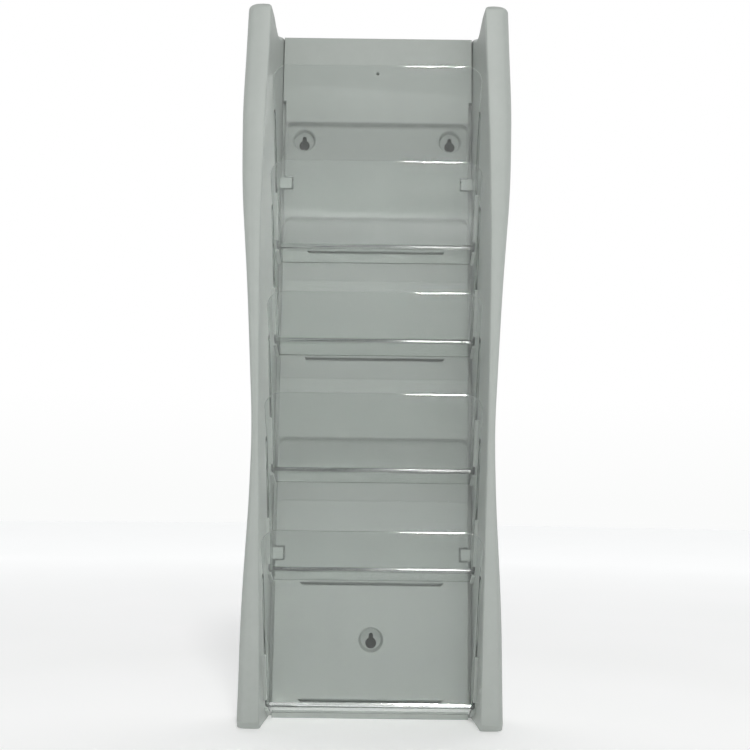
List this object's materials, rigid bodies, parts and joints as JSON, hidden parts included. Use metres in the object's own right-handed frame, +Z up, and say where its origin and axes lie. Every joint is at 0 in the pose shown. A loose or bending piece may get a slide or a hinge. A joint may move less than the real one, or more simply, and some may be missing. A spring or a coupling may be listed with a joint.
{
  "type": "leaflet sorter",
  "caption": "Tall grey plastic sorter for A4 leaflets: two curved hollow side panels, a back panel with keyholes for wall hanging, and clear leaning pockets that lift out.",
  "frame": {"origin": "under the middle of the outline, on the plane that the side panels stand on", "axes": "+Z up, -Y towards the user, +X to the right; the back rests on a wall in the +Y direction"},
  "size_m": [0.2822, 0.1495, 0.777],
  "materials": {
    "side_plastic": "fine satin, light grey",
    "back_plastic": "fine satin, light grey",
    "clear_plastic": "clear polystyrene, polished"
  },
  "bodies": {
    "frame": {"back_panel": "back_plastic", "left_side_panel": "side_plastic", "right_side_panel": "side_plastic"},
    "tray_1": {"tray_1": "clear_plastic"},
    "tray_2": {"tray_2": "clear_plastic"},
    "tray_3": {"tray_3": "clear_plastic"},
    "tray_4": {"tray_4": "clear_plastic"},
    "tray_5": {"tray_5": "clear_plastic"}
  },
  "joints": [
    {"name": "tray_1_lift", "type": "slide", "parent": "frame", "child": "tray_1", "axis": [0, -0.3305, 0.9438], "range_m": [0, 0.2]},
    {"name": "tray_2_lift", "type": "slide", "parent": "frame", "child": "tray_2", "axis": [0, -0.3305, 0.9438], "range_m": [0, 0.2]},
    {"name": "tray_3_lift", "type": "slide", "parent": "frame", "child": "tray_3", "axis": [0, -0.3305, 0.9438], "range_m": [0, 0.2]},
    {"name": "tray_4_lift", "type": "slide", "parent": "frame", "child": "tray_4", "axis": [0, -0.3305, 0.9438], "range_m": [0, 0.2]},
    {"name": "tray_5_lift", "type": "slide", "parent": "frame", "child": "tray_5", "axis": [0, -0.3305, 0.9438], "range_m": [0, 0.2]}
  ]
}
